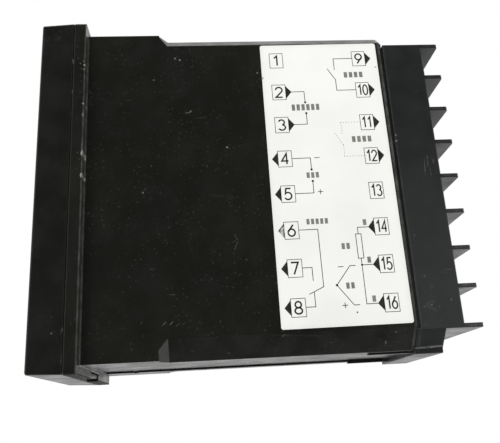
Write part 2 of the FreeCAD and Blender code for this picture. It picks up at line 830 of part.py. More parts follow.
write("calibration_trimmer", [on_board(1, trimmer_size, *from_lower_rear(*trimmer_place))])
write("opto_isolators", [on_board(1, opto_size, board_end - opto_rear_gap, z) for z in opto_heights])
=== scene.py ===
"""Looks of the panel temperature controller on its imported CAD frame. Metres, +Z up, front along -Y."""

import json
import math
import random

import bmesh
import bpy
from mathutils import Euler, Matrix, Vector


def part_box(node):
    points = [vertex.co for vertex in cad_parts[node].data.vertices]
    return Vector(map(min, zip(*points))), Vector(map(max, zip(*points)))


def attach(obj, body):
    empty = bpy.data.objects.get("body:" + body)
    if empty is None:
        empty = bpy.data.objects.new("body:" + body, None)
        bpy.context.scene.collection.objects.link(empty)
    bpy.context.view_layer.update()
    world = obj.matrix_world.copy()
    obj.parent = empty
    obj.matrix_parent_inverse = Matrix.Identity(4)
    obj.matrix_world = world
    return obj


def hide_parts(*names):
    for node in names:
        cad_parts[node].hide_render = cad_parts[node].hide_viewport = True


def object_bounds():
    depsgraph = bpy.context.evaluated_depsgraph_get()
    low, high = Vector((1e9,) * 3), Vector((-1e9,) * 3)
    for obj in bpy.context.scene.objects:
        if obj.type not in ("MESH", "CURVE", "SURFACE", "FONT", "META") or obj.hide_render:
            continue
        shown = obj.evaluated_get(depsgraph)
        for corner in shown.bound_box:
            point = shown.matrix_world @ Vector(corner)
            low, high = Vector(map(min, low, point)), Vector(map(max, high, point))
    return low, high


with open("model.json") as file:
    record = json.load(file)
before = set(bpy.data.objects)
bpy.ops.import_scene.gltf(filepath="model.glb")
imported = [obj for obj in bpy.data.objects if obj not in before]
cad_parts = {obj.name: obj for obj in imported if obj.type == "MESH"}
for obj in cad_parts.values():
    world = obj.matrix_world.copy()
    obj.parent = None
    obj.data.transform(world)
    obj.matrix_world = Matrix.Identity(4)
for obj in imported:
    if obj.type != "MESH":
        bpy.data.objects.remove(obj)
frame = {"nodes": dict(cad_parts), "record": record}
cad_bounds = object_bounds()
MM = 0.001


def mm(*values):
    """Lengths in metres, given in millimetres."""
    return [value * MM for value in values]


ROWS = 8
HEAD_RADIUS, HEAD_HEIGHT = mm(2.9, 2.0)
# From the boards' rear edge to the front end of the edge contacts.
CONTACT_START = 4.6 * MM
# Heights of thin print, from just inside a face to just outside it.
INK = mm(-0.01, 0.02)


# ---------------- shader helpers
def srgb(red, green, blue):
    """A colour given as 0 to 255 display values, in the linear values that shaders take."""
    def linear(value):
        value /= 255
        return value / 12.92 if value <= 0.04045 else ((value + 0.055) / 1.055) ** 2.4
    return (linear(red), linear(green), linear(blue), 1.0)


class NodeTree:
    """A node tree being built, with short ways to add nodes and link them."""

    def __init__(self, tree, coordinates):
        self.nodes = tree.nodes
        self.links = tree.links
        self.place = self.add("ShaderNodeTexCoord").outputs[coordinates]

    def add(self, kind, sockets=(), **settings):
        """A node with its settings, and some of its sockets fed."""
        node = self.nodes.new(kind)
        for key, value in settings.items():
            setattr(node, key, value)
        for socket, value in dict(sockets).items():
            self.feed(node, socket, value)
        return node

    def feed(self, node, socket, value):
        """Link another node's output to a socket, or set the socket to a constant."""
        if isinstance(value, bpy.types.NodeSocket):
            self.links.new(value, node.inputs[socket])
        else:
            node.inputs[socket].default_value = value

    def math(self, operation, first, second=0.0):
        return self.add("ShaderNodeMath", {0: first, 1: second}, operation=operation).outputs[0]

    def product(self, first, *others):
        for other in others:
            first = self.math("MULTIPLY", first, other)
        return first

    def highest(self, first, *others):
        for other in others:
            first = self.math("MAXIMUM", first, other)
        return first

    def ramp(self, value, low, high, start=0.0, end=1.0, curve="SMOOTHSTEP"):
        """What goes from start to end while a value goes from low to high."""
        sockets = {"Value": value, "From Min": low, "From Max": high, "To Min": start, "To Max": end}
        return self.add("ShaderNodeMapRange", sockets, interpolation_type=curve).outputs["Result"]

    def axis(self, name):
        return self.add("ShaderNodeSeparateXYZ", {0: self.place}).outputs[name]

    def away(self, name, middle=0.0):
        """The distance from the plane across an axis at one place."""
        return self.math("ABSOLUTE", self.math("SUBTRACT", self.axis(name), middle))


class Shader(NodeTree):
    """A material being built round its Principled shader."""

    def __init__(self, name):
        self.material = bpy.data.materials.new(name)
        self.material.use_nodes = True
        super().__init__(self.material.node_tree, "Object")
        self.principled = self.nodes["Principled BSDF"]

    def set(self, **values):
        """Constants straight on the Principled shader's own sockets."""
        for key, value in values.items():
            self.principled.inputs[key.replace("_", " ")].default_value = value

    def colour(self, value):
        self.feed(self.principled, "Base Color", value)

    def tones(self, factor, first, second):
        self.colour(self.mix(factor, first, second))

    def rough(self, value):
        self.feed(self.principled, "Roughness", value)

    def bump(self, height, strength, distance, soften=None):
        """Relief from a height, over edges that catch the light as if rounded by the softening radius."""
        relief = self.add("ShaderNodeBump", {"Height": height, "Strength": strength, "Distance": distance})
        if soften:
            edge = self.add("ShaderNodeBevel", {"Radius": soften}, samples=6)
            self.feed(relief, "Normal", edge.outputs["Normal"])
        self.feed(self.principled, "Normal", relief.outputs["Normal"])

    def moved(self, offset=(0, 0, 0), turn=(0, 0, 0), scale=(1, 1, 1)):
        """The place on the object, taken from another point, turned and then scaled."""
        vector = self.place
        origin = [-value for value in offset]
        for socket, values in (("Location", origin), ("Rotation", turn), ("Scale", scale)):
            node = self.add("ShaderNodeMapping", {"Vector": vector, socket: values}, vector_type="POINT")
            vector = node.outputs["Vector"]
        return vector

    def noise(self, scale, detail=2, vector=None):
        sockets = {"Vector": vector or self.place, "Scale": scale, "Detail": detail}
        return self.add("ShaderNodeTexNoise", sockets).outputs["Fac"]

    def cells(self, scale):
        """The distance to the nearest of many scattered points."""
        return self.add("ShaderNodeTexVoronoi", {"Vector": self.place, "Scale": scale}).outputs["Distance"]

    def stripes(self, scale, direction, profile="SIN", distortion=0.0):
        sockets = {"Vector": self.place, "Scale": scale, "Distortion": distortion}
        return self.add("ShaderNodeTexWave", sockets, bands_direction=direction,
                        wave_profile=profile).outputs["Fac"]

    def mix(self, factor, first, second):
        node = self.add("ShaderNodeMix", data_type="RGBA")
        for socket, value in ((0, factor), ("A", first), ("B", second)):
            self.feed(node, socket, value)
        return [output for output in node.outputs if output.type == "RGBA"][0]

    def clouded(self, scale, first, second):
        """A colour that drifts unevenly between two."""
        return self.mix(self.ramp(self.noise(scale, 3), 0.35, 0.7), first, second)

    def uneven_gloss(self, scale, smoothest, roughest):
        """Roughness that drifts between two values."""
        self.rough(self.ramp(self.noise(scale), 0.3, 0.7, smoothest, roughest))

    def spot(self, vector, outer, inner):
        """A mask round the zero of a vector, full within the inner radius and gone past the outer."""
        length = self.add("ShaderNodeVectorMath", {0: vector}, operation="LENGTH")
        return self.ramp(length.outputs["Value"], outer, inner)


# ---------------- materials
def loose_dust(shader, fine_strength):
    """A mask of patchy specks, hair-thin scratches and finer dust."""
    patch = shader.noise(95)
    specks = shader.product(shader.ramp(shader.cells(420), 0.16, 0.07), shader.ramp(patch, 0.62, 0.74))
    hair = shader.noise(900, 1, shader.moved(scale=(1, 0.16, 1)))
    hair = shader.product(shader.ramp(hair, 0.74, 0.8), shader.ramp(patch, 0.5, 0.66), 0.5)
    fine = shader.product(shader.ramp(shader.cells(760), 0.26, 0.12), shader.ramp(patch, 0.35, 0.6))
    return shader.highest(specks, hair, shader.product(fine, fine_strength))


def edge_dust(shader, y, half_width, strength):
    """A mask of pale dust and painted highlight along an edge that runs up and down at one y; in
    millimetres.
    """
    uneven = shader.ramp(shader.noise(330, 3), 0.35, 0.75, 0.35 * strength, strength)
    near = shader.ramp(shader.away("Y", y * MM), *mm(half_width, 0.4 * half_width))
    return shader.product(near, uneven)


def scuffs(shader, streaks_and_highlights):
    """A mask of single scuff marks, and of painted highlights along some edges, on a face along X, broken
    up by a fine noise.

    Each is (y, z, turn, length, width, strength), in millimetres and degrees."""
    broken = shader.ramp(shader.noise(1100), 0.38, 0.6, 0.3, 1.0)
    marks = []
    for y, z, turn, length, width, strength in streaks_and_highlights:
        vector = shader.moved(mm(0, y, z), (math.radians(-turn), 0, 0),
                              (0, 1 / (length * MM), 1 / (width * MM)))
        marks.append(shader.product(shader.spot(vector, 0.5, 0.3), broken, strength))
    return shader.highest(*marks)


def chalky_end(shader, base, first, last, pale_tone):
    """A tone that turns paler from the first height to just before the last, in millimetres."""
    height = shader.axis("Z")
    towards = shader.ramp(height, *mm(first, last))
    before = shader.ramp(height, *mm(last + 0.4, last), 1.0, 0.0)
    return shader.mix(shader.product(towards, before), base, pale_tone)


def moulded_plastic(name, body, worn, specular, roughness, dust_and_highlight_strength, grain, streaks_and_highlights, dusty_and_highlit_edges,
                    paler_end=None, matt_below=None, fine_strength=0.03):
    """Moulded plastic: a fine grain, uneven gloss, thin scratches, single scuff marks, pale dust and
    painted highlights along some edges.

    Streaks, edge bands and the paler end are what the scuff, edge band and paler-end masks above take; some
    streaks and edge bands are painted highlights, the rest pale dust and scuff marks. The face may be matt
    below one height in millimetres."""
    shader = Shader(name)
    base = shader.clouded(60, body, worn)
    if paler_end:
        base = chalky_end(shader, base, *paler_end)
    # Pale dust, scuff marks and painted highlights along some edges, mixed into one pale tone.
    pale = shader.highest(loose_dust(shader, fine_strength), scuffs(shader, streaks_and_highlights),
                          *(edge_dust(shader, *edge) for edge in dusty_and_highlit_edges))
    shader.tones(shader.product(pale, dust_and_highlight_strength), base, srgb(150, 150, 145))
    rough = shader.ramp(shader.noise(140, 3), 0.3, 0.7, roughness - 0.06, roughness + 0.08)
    if matt_below is not None:
        matt = shader.ramp(shader.axis("Z"), *mm(matt_below + 0.1, matt_below), 0.0, 0.9)
        rough = shader.highest(rough, matt)
    shader.rough(rough)
    shader.bump(shader.noise(2600), grain, *mm(0.06, 0.3))
    shader.set(Specular_IOR_Level=specular)
    return shader.material


def label_card():
    """Off-white coated card, faintly clouded, with a slightly soiled rim."""
    shader = Shader("label_card")
    low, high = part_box("wiring_label")
    rim = 1.6 * MM
    near = []
    for axis, name in ((1, "Y"), (2, "Z")):
        half = (high[axis] - low[axis]) / 2
        near.append(shader.ramp(shader.away(name, (low[axis] + high[axis]) / 2), half - rim, half))
    soiled = shader.product(shader.highest(*near), shader.noise(300), 0.35)
    cloud = shader.ramp(shader.noise(45, 3), 0.35, 0.68)
    paper = shader.mix(cloud, srgb(247, 248, 244), srgb(241, 242, 237))
    shader.tones(soiled, paper, srgb(206, 206, 198))
    shader.uneven_gloss(500, 0.42, 0.55)
    shader.bump(shader.noise(3000), 0.1, 0.02 * MM)
    shader.set(Specular_IOR_Level=0.3)
    return shader.material


def print_ink(name, ink, faded, worn_spot=None):
    """Matt print that is a little uneven, and rubbed half away round a worn spot where one is given."""
    shader = Shader(name)
    uneven = shader.ramp(shader.noise(1400, 3), 0.35, 0.7)
    colour = shader.mix(uneven, ink, faded)
    if worn_spot:
        near = shader.spot(shader.moved(worn_spot, scale=(0, 1 / MM, 1 / MM)), 2.2, 0.4)
        rubbed = shader.product(near, shader.ramp(shader.noise(1100, 3), 0.36, 0.56))
        colour = shader.mix(rubbed, colour, srgb(205, 206, 200))
    shader.colour(colour)
    shader.rough(shader.ramp(uneven, 0, 1, 0.55, 0.7))
    shader.set(Specular_IOR_Level=0.2)
    return shader.material


def metal(name, light, dark, roughness, scale=220):
    """Plated or drawn metal with faint tarnish and fine working marks."""
    shader = Shader(name)
    shader.tones(shader.ramp(shader.noise(scale, 4), 0.35, 0.75), srgb(*light), srgb(*dark))
    shader.uneven_gloss(scale * 3, roughness - 0.08, roughness + 0.12)
    shader.bump(shader.noise(1800), 0.2, *mm(0.02, 0.12))
    shader.set(Metallic=1.0)
    return shader.material


def soft_finish(name, main, other, roughness, scale=300, grain=1800, relief=0.15, specular=0.4):
    """A plain moulded, painted or sleeved surface of two near tones."""
    shader = Shader(name)
    shader.colour(shader.clouded(scale, srgb(*main), srgb(*other)))
    shader.uneven_gloss(scale * 2, roughness - 0.05, roughness + 0.1)
    shader.bump(shader.noise(grain), relief, *mm(0.03, 0.15))
    shader.set(Specular_IOR_Level=specular)
    return shader.material


def board_laminate():
    """Green solder mask over a glass weave, darker where it is thick."""
    shader = Shader("board_laminate")
    weave = shader.product(shader.stripes(900, "Y"), shader.stripes(900, "Z"))
    cloud = shader.ramp(shader.noise(120, 3), 0.3, 0.7)
    green = shader.mix(cloud, srgb(24, 92, 52), srgb(18, 78, 44))
    shader.tones(shader.product(weave, 0.2), green, srgb(58, 122, 70))
    shader.uneven_gloss(400, 0.28, 0.4)
    shader.bump(weave, 0.12, *mm(0.02, 0.1))
    return shader.material


def laminated_steel():
    """A core of thin steel sheets seen edge on, varnished."""
    shader = Shader("core_steel")
    sheets = shader.stripes(900, "Y", profile="SAW")
    tone = shader.clouded(200, srgb(96, 98, 100), srgb(66, 66, 66))
    shader.tones(shader.ramp(sheets, 0.72, 0.95), tone, srgb(30, 30, 30))
    shader.uneven_gloss(700, 0.38, 0.55)
    shader.bump(sheets, 0.5, 0.08 * MM)
    shader.set(Metallic=0.7)
    return shader.material


def wound_tape():
    """Amber tape wound over the coil, with the wire's turns showing through."""
    shader = Shader("coil_tape")
    turns = shader.stripes(700, "X", distortion=0.4)
    tone = shader.clouded(150, srgb(214, 170, 52), srgb(190, 140, 38))
    shader.tones(shader.product(turns, 0.4), tone, srgb(150, 96, 30))
    shader.uneven_gloss(500, 0.22, 0.4)
    shader.bump(turns, 0.4, *mm(0.06, 0.2))
    return shader.material


def tinted_window():
    """Smoke-tinted clear acrylic with a faintly uneven polish."""
    shader = Shader("window_acrylic")
    shader.tones(shader.noise(80), srgb(104, 84, 84), srgb(96, 78, 78))
    shader.rough(shader.ramp(shader.noise(600), 0.4, 0.7, 0.02, 0.07))
    shader.set(Transmission_Weight=1.0, IOR=1.49)
    return shader.material


def frosted_lens(name, main, other):
    """A diffusing coloured lens of an unlit lamp or segment."""
    shader = Shader(name)
    shader.tones(shader.noise(500), main, other)
    shader.uneven_gloss(900, 0.25, 0.4)
    shader.set(Transmission_Weight=0.35, Subsurface_Weight=0.25, Subsurface_Scale=1.0 * MM)
    return shader.material


def shrunk_sleeve():
    """The dark blue heat-shrunk sleeve of a capacitor."""
    shader = Shader("capacitor_sleeve")
    shader.colour(shader.clouded(200, srgb(22, 26, 52), srgb(28, 34, 62)))
    shader.uneven_gloss(500, 0.25, 0.38)
    shader.bump(shader.noise(900), 0.15, *mm(0.03, 0.1))
    return shader.material


# ---------------- mesh helpers
def add_object(name, data):
    made = bpy.data.objects.new(name, data)
    bpy.context.scene.collection.objects.link(made)
    return made


def add_built(name, builder):
    """Turn a bmesh into an object, its faces looking outwards."""
    bmesh.ops.recalc_face_normals(builder, faces=builder.faces)
    mesh = bpy.data.meshes.new(name)
    builder.to_mesh(mesh)
    builder.free()
    return add_object(name, mesh)


def add_piece(name, builder, finishes, body="chassis"):
    """Turn a bmesh into a piece that rides on a body."""
    piece = add_built(name, builder)
    for finish in finishes:
        piece.data.materials.append(materials[finish])
    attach(piece, body)
    return piece


def add_prism(builder, outline, low, high, place, material=0):
    """A flat shape: an outline of (a, b) points between two heights, set by a place function."""
    floor = [builder.verts.new(place(a, b, low)) for a, b in outline]
    roof = [builder.verts.new(place(a, b, high)) for a, b in outline]
    faces = [builder.faces.new(floor), builder.faces.new(list(reversed(roof)))]
    for index in range(len(outline)):
        after = (index + 1) % len(outline)
        faces.append(builder.faces.new((floor[index], floor[after], roof[after], roof[index])))
    for face in faces:
        face.material_index = material


def add_stroke(builder, points, width, low, high, place, closed=False, material=0):
    """A flat line of even width along points, with mitred corners."""
    points = [Vector(point) for point in points]
    count = len(points)
    rings = []
    for index, point in enumerate(points):
        directions = []
        if closed or index:
            directions.append((point - points[index - 1]).normalized())
        if closed or index < count - 1:
            directions.append((points[(index + 1) % count] - point).normalized())
        along = sum(directions, Vector((0, 0))).normalized()
        normal = Vector((-along.y, along.x))
        reach = width / 2 / max(0.3, normal.dot(Vector((-directions[0].y, directions[0].x))))
        corners = [point + normal * reach, point - normal * reach]
        rings.append([builder.verts.new(place(corner.x, corner.y, height))
                      for height in (low, high) for corner in corners])
    for index in range(count if closed else count - 1):
        one, two = rings[index], rings[(index + 1) % count]
        for first, second in ((0, 1), (1, 3), (3, 2), (2, 0)):
            side = builder.faces.new((one[first], one[second], two[second], two[first]))
            side.material_index = material
    if not closed:
        for ends in (rings[0], rings[-1]):
            builder.faces.new((ends[0], ends[1], ends[3], ends[2])).material_index = material


def arc(centre, radii, start, end, steps):
    """Points along an elliptic arc; angles in degrees, from +a towards +b."""
    angles = [math.radians(start + (end - start) * step / steps) for step in range(steps + 1)]
    return [(centre[0] + radii[0] * math.cos(angle), centre[1] + radii[1] * math.sin(angle))
            for angle in angles]


def ring(centre, radii, count):
    """Points evenly round a whole ellipse."""
    return arc(centre, radii, 0, 360, count)[:-1]


def rectangle(left, top, right, bottom):
    return [(left, top), (right, top), (right, bottom), (left, bottom)]


def add_block(builder, low, high, bevel=0.0, material=0):
    """A box between two corners, with its edges bevelled."""
    made = bmesh.ops.create_cube(builder, size=1.0)["verts"]
    size = [high[axis] - low[axis] for axis in range(3)]
    middle = [(high[axis] + low[axis]) / 2 for axis in range(3)]
    bmesh.ops.scale(builder, vec=size, verts=made)
    bmesh.ops.translate(builder, vec=middle, verts=made)
    faces = {face for vert in made for face in vert.link_faces}
    for face in faces:
        face.material_index = material
    if bevel:
        edges = list({edge for face in faces for edge in face.edges})
        bmesh.ops.bevel(builder, geom=edges, offset=bevel, segments=2, affect="EDGES", profile=0.7)


def add_turned(builder, profile, place, steps):
    """A solid of revolution: (radius, height) points from the axis out and back to the axis."""
    rings = []
    for radius, height in profile:
        circle = ring((0, 0), (radius, radius), steps) if radius > 0 else [(0, 0)]
        rings.append([builder.verts.new(place(a, b, height)) for a, b in circle])
    for one, two in zip(rings, rings[1:]):
        for step in range(steps):
            after = (step + 1) % steps
            corners = [one[step % len(one)], one[after % len(one)],
                       two[after % len(two)], two[step % len(two)]]
            builder.faces.new(list(dict.fromkeys(corners)))


def add_disc(builder, radius, slope, bottom, rim, top, place, steps):
    """A disc whose upper edge slopes in from the rim's height to the top's."""
    add_turned(builder, [(0, bottom), (radius, bottom), (radius, rim), (radius - slope, top), (0, top)],
               place, steps)


def shade_smooth(piece, angle):
    """Smooth shading that keeps edges sharper than the angle."""
    for polygon in piece.data.polygons:
        polygon.use_smooth = True
    piece.data.set_sharp_from_angle(angle=math.radians(angle))


def on_front(x, y, z, lean=0.0):
    """A place function for a forward face: a along X, b along Z, which may lean, and height forwards."""
    return lambda a, b, height: (x + a + b * lean, y - height, z + b)


def on_side(x, outward, y=0.0, z=0.0):
    """A place function for a face towards X (1) or -X (-1): a along Y, b along Z and height outwards."""
    return lambda a, b, height: (x + outward * height, y + a, z + b)


# ---------------- wiring label print
DIGIT_WIDTH = 0.58


def digit_table():
    """The strokes of each digit, (points, closed) each, in a box DIGIT_WIDTH wide and 1 high, b down."""
    half = DIGIT_WIDTH / 2
    six = [([(0.45, 0.0), (0.04, 0.58)], False), (ring((half, 0.69), (half, 0.31), 20), True)]
    return {
        0: [(ring((half, 0.5), (half, 0.5), 24), True)],
        1: [([(0.1, 0.24), (0.36, 0.0), (0.36, 1.0)], False)],
        2: [(arc((half, 0.28), (half, 0.28), 185, 392, 16) + [(0.0, 1.0), (DIGIT_WIDTH, 1.0)], False)],
        3: [(arc((half - 0.02, 0.245), (0.25, 0.245), 200, 440, 14), False),
            (arc((half, 0.74), (half, 0.26), 285, 515, 16), False)],
        4: [([(0.43, 1.0), (0.43, 0.0), (0.0, 0.7), (DIGIT_WIDTH, 0.7)], False)],
        5: [([(0.53, 0.0), (0.12, 0.0), (0.07, 0.45)]
             + arc((0.27, 0.68), (0.3, 0.32), 225, 510, 18)[1:], False)],
        6: six,
        7: [([(0.0, 0.0), (DIGIT_WIDTH, 0.0), (0.2, 1.0)], False)],
        8: [(ring((half, 0.25), (0.24, 0.25), 20), True), (ring((half, 0.75), (half, 0.25), 20), True)],
        9: [([(DIGIT_WIDTH - a, 1.0 - b) for a, b in points], closed) for points, closed in six],
    }


DIGIT_STROKES = digit_table()
# Where the original has words: (left, top, width, height, number of blocks).
WORDS = (
    (5.1, 16.45, 8.2, 1.9, 6), (7.35, 37.0, 3.75, 1.6, 3), (6.05, 50.15, 6.1, 1.5, 5),
    (20.95, 6.65, 5.9, 1.75, 4), (20.95, 26.8, 5.9, 1.75, 4), (21.0, 50.95, 1.4, 1.6, 1),
    (20.95, 61.15, 1.4, 1.6, 1), (20.95, 71.35, 1.4, 1.6, 1), (14.6, 57.2, 2.6, 1.6, 2),
    (14.65, 67.65, 2.6, 1.6, 2),
)


class LabelPrint:
    """Print on the card, in millimetres: a rearwards and b downwards from the first number box."""
    box_width = 3.77
    box_height = 4.68
    row_pitch = 10.15
    column_pitch = 23.92
    corner = (-14.61, 37.86)
    tilt = 0.0116
    film = 0.02
    line = 0.18
    box_line = 0.15
    arrow_reach = 1.66
    wire_clear = 1.6
    sign_half = 0.72
    digit_height = 3.1
    digit_advance = 1.52

    def __init__(self):
        low, self.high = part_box("wiring_label")
        self.centre = [(low[axis] + self.high[axis]) / 2 for axis in range(3)]
        self.cosine, self.sine = math.cos(self.tilt), math.sin(self.tilt)
        self.builder = bmesh.new()

    def place(self, a, b, height):
        along = self.corner[0] + self.cosine * a + self.sine * b
        up = self.corner[1] + self.sine * a - self.cosine * b
        return (self.high[0] + height * MM, self.centre[1] + along * MM, self.centre[2] + up * MM)

    def middle(self, row):
        return row * self.row_pitch + self.box_height / 2

    def stroke(self, points, width=line, closed=False, material=0):
        add_stroke(self.builder, points, width, -self.film / 2, self.film, self.place, closed, material)

    def fill(self, outline, material=0):
        add_prism(self.builder, outline, -self.film / 2, self.film, self.place, material)

    def dot(self, a, b, radius=0.32):
        self.fill(ring((a, b), (radius, radius), 12))

    def dotted(self, points):
        """Grey dashes along points."""
        dash, pitch, width = 0.28, 0.78, 0.14
        for start, end in zip(points, points[1:]):
            start, end = Vector(start), Vector(end)
            along = (end - start).normalized()
            for index in range(int((end - start).length / pitch) + 1):
                first = start + along * index * pitch
                self.stroke([first, first + along * dash], width, material=1)

    def minus(self, a, b):
        self.stroke([(a - self.sign_half, b), (a + self.sign_half, b)])

    def plus(self, a, b):
        self.minus(a, b)
        self.stroke([(a, b - self.sign_half), (a, b + self.sign_half)])

    def plain_marks(self, left, top, width, height, count):
        """A row of small plain blocks where the original has a word."""
        pitch = width / count
        for index in range(count):
            start, end = left + index * pitch, left + (index + 0.66) * pitch
            self.fill(rectangle(start, top, end, top + height), 1)

    def number(self, value, left, top):
        """A plain number centred in its box, narrower and thinner where it has two digits."""
        digits = [int(character) for character in str(value)]
        width, line = (1.85, 0.42) if len(digits) == 1 else (1.28, 0.37)
        span = width + self.digit_advance * (len(digits) - 1)
        start_b = top + (self.box_height - self.digit_height) / 2
        for index, digit in enumerate(digits):
            start_a = left + (self.box_width - span) / 2 + index * self.digit_advance
            for points, closed in DIGIT_STROKES[digit]:
                self.stroke([(start_a + a * width / DIGIT_WIDTH, start_b + b * self.digit_height)
                             for a, b in points], line, closed)

    def terminal(self, value, arrow):
        """A numbered box with a solid arrow at its left (-1) or right (1), or none (0)."""
        column, row = divmod(value - 1, ROWS)
        left, top = column * self.column_pitch, row * self.row_pitch
        right, bottom = left + self.box_width, top + self.box_height
        self.stroke(rectangle(left, top, right, bottom), self.box_line, closed=True)
        self.number(value, left, top)
        if arrow:
            edge = right if arrow > 0 else left
            tip = (edge + arrow * self.arrow_reach, self.middle(row))
            self.fill([(edge, top + 0.35), tip, (edge, bottom - 0.3)])

    def bracket(self, row, start, reach):
        """Two wires from one pair of boxes to the dots that face each other between them."""
        lead, slant = 3.4, 0.03
        for sign, wire in ((1, self.middle(row)), (-1, self.middle(row + 1))):
            end = (reach + slant, wire + sign * lead)
            self.stroke([(start, wire), (reach, wire), end])
            self.dot(*end)

    def contact(self, row, draw):
        """An open contact between two boxes of the second column."""
        upper, lower = self.middle(row) - 0.15, self.middle(row + 1) - 0.1
        wire, start = 18.4, self.column_pitch
        draw([(start, upper), (wire, upper), (wire, upper + 3.6)])
        draw([(start, lower), (wire, lower), (wire, lower - 3.4), (wire - 2.1, lower - 7.05)])


def front_diagrams(page):
    """The diagrams right of the first column: two inputs and a change-over contact."""
    edge = page.box_width
    page.bracket(1, edge + page.wire_clear, 8.98)
    page.bracket(3, edge, 8.82)
    page.minus(10.6, page.middle(3))
    page.plus(10.6, page.middle(4) - 0.3)
    common, upper, lower = (page.middle(row) for row in (5, 6, 7))
    page.stroke([(edge, common), (8.82, common), (8.82, common + 15.3), (4.97, common + 17.05)])
    page.stroke([(edge, upper), (6.3, upper), (6.3, upper + 3.5)])
    page.stroke([(edge, lower), (6.28, lower), (6.28, lower - 3.75)])


def rear_diagrams(page):
    """The diagrams left of the second column: two contacts, a sensor's resistor and a thermocouple."""
    page.contact(0, page.stroke)
    page.contact(2, page.dotted)
    first, second, third = (page.middle(row) for row in (5, 6, 7))
    wire, tip = 19.38, page.column_pitch - page.wire_clear
    top, bottom = first + 1.8, first + 8.35
    page.stroke([(tip, first), (wire, first), (wire, top)])
    page.stroke(rectangle(wire - 0.72, top, wire + 0.72, bottom), closed=True)
    page.stroke([(wire, bottom), (wire, third), (tip, third)])
    page.stroke([(wire, second), (tip, second)])
    page.dot(wire, second, 0.28)
    bead = (12.27, second + 4.95)
    page.stroke([(17.65, second + 0.05), (16.16, second + 0.05), bead,
                 (16.16, third + 0.1), (17.6, third + 0.1)])
    page.dot(*bead)
    page.minus(13.75, second + 0.2)
    page.plus(13.8, third + 0.05)


def label_print():
    """Boxes, plain numbers, arrows and line diagrams on the card; the words are left out."""
    page = LabelPrint()
    arrows = dict.fromkeys((2, 3, 9, 10, 11, 12), 1)
    arrows.update(dict.fromkeys((1, 13), 0))
    for value in range(1, 2 * ROWS + 1):
        page.terminal(value, arrows.get(value, -1))
    front_diagrams(page)
    rear_diagrams(page)
    for word in WORDS:
        page.plain_marks(*word)

    # Three small slips of the printer.
    page.stroke([(30.1, 5.26), (30.75, 5.24)], 0.22, material=1)
    page.fill([(-2.4, 7.3), (-2.16, 7.8), (-2.4, 8.4)])
    page.dot(page.box_width + 12.9, page.middle(7) + 2.0, 0.2)

    worn = page.place(-0.7, page.middle(5), 0)
    materials["print_ink"] = print_ink("print_ink", srgb(32, 33, 30), srgb(50, 51, 47), worn)
    add_piece("label_print", page.builder, ["print_ink", "print_grey"], "case")


# ---------------- terminal screws
def upright(a, b, height):
    """A place function with the height along +Y."""
    return (a, height, b)


def cut_mesh(solid, tool):
    """The mesh of one bmesh with another cut out of it."""
    whole, cutter = add_built("whole", solid), add_built("cutter", tool)
    cut = whole.modifiers.new("cut", "BOOLEAN")
    cut.operation = "DIFFERENCE"
    cut.object = cutter
    cut.solver = "EXACT"
    result = bpy.data.meshes.new_from_object(whole.evaluated_get(bpy.context.evaluated_depsgraph_get()))
    for temporary in (whole, cutter):
        mesh = temporary.data
        bpy.data.objects.remove(temporary)
        bpy.data.meshes.remove(mesh)
    return result


def screw_mesh(shaft_length):
    """A pan-head screw with a cross recess, its seat at height 0 and its head along +Y."""
    shaft_radius, thread_pitch, thread_depth = mm(1.45, 0.5, 0.18)
    profile = [(0, -shaft_length), (shaft_radius - 2 * thread_depth, -shaft_length)]
    for ridge in range(int((shaft_length - 0.6 * MM) / thread_pitch)):
        start = -shaft_length + (ridge + 0.5) * thread_pitch
        profile += [(shaft_radius - thread_depth, start), (shaft_radius, start + thread_pitch / 2)]
    rim, flat = 0.45 * HEAD_HEIGHT, 0.68 * HEAD_RADIUS
    profile += [(shaft_radius - thread_depth, 0), (HEAD_RADIUS, 0), (HEAD_RADIUS, rim)]
    profile += arc((flat, rim), (HEAD_RADIUS - flat, HEAD_HEIGHT - rim), 15, 90, 6) + [(0, HEAD_HEIGHT)]
    head = bmesh.new()
    add_turned(head, profile, upright, 28)

    arm, half, depth = mm(1.65, 0.36, 1.1)
    corners = [(half, half), (arm, half), (arm, -half)]
    cross = []
    for quarter in range(4):
        cross += corners
        corners = [(b, -a) for a, b in corners]
    recess = bmesh.new()
    add_prism(recess, cross, HEAD_HEIGHT - depth, HEAD_HEIGHT + MM, upright)
    return cut_mesh(head, recess)


def terminal_rows():
    """The heights of the terminals' rows, from the top."""
    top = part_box("terminal_screws")[1][2] - HEAD_RADIUS
    return [top - row * top * 2 / (ROWS - 1) for row in range(ROWS)]


def rear_screws():
    """Sixteen pan-head terminal screws, each turned to an angle of its own."""
    low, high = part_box("terminal_screws")
    seat = high[1] - HEAD_HEIGHT
    one = screw_mesh(seat - low[1])
    draw = random.Random(11)
    angle = 0.0
    builder = bmesh.new()
    for side in (1, -1):
        for z in terminal_rows():
            angle += draw.uniform(0, math.tau)
            turned = one.copy()
            turned.transform(Matrix.Translation((side * (high[0] - HEAD_RADIUS), seat, z))
                             @ Matrix.Rotation(angle, 4, "Y"))
            builder.from_mesh(turned)
            bpy.data.meshes.remove(turned)
    bpy.data.meshes.remove(one)
    piece = add_piece("terminal_screw_set", builder, ["plated_steel"], "case")
    shade_smooth(piece, 35)
    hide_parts("terminal_screws")


# ---------------- front
def segment_outlines(width, height, bar):
    """Outlines of the seven bars of a digit, centred on 0, with pointed ends."""
    left, right, top = -width / 2, width / 2, height / 2
    bars = [((left, level), (right, level)) for level in (top, 0, -top)]
    bars += [((side, foot), (side, foot + top)) for foot in (0, -top) for side in (left, right)]
    outlines = []
    for start, end in bars:
        start, end = Vector(start), Vector(end)
        along = (end - start).normalized()
        across = Vector((-along.y, along.x)) * bar / 2
        tip, shoulder = along * bar * 0.12, along * bar * 0.6
        outlines.append([start + tip, start + shoulder + across, end - shoulder + across, end - tip,
                         end - shoulder - across, start + shoulder - across])
    return outlines


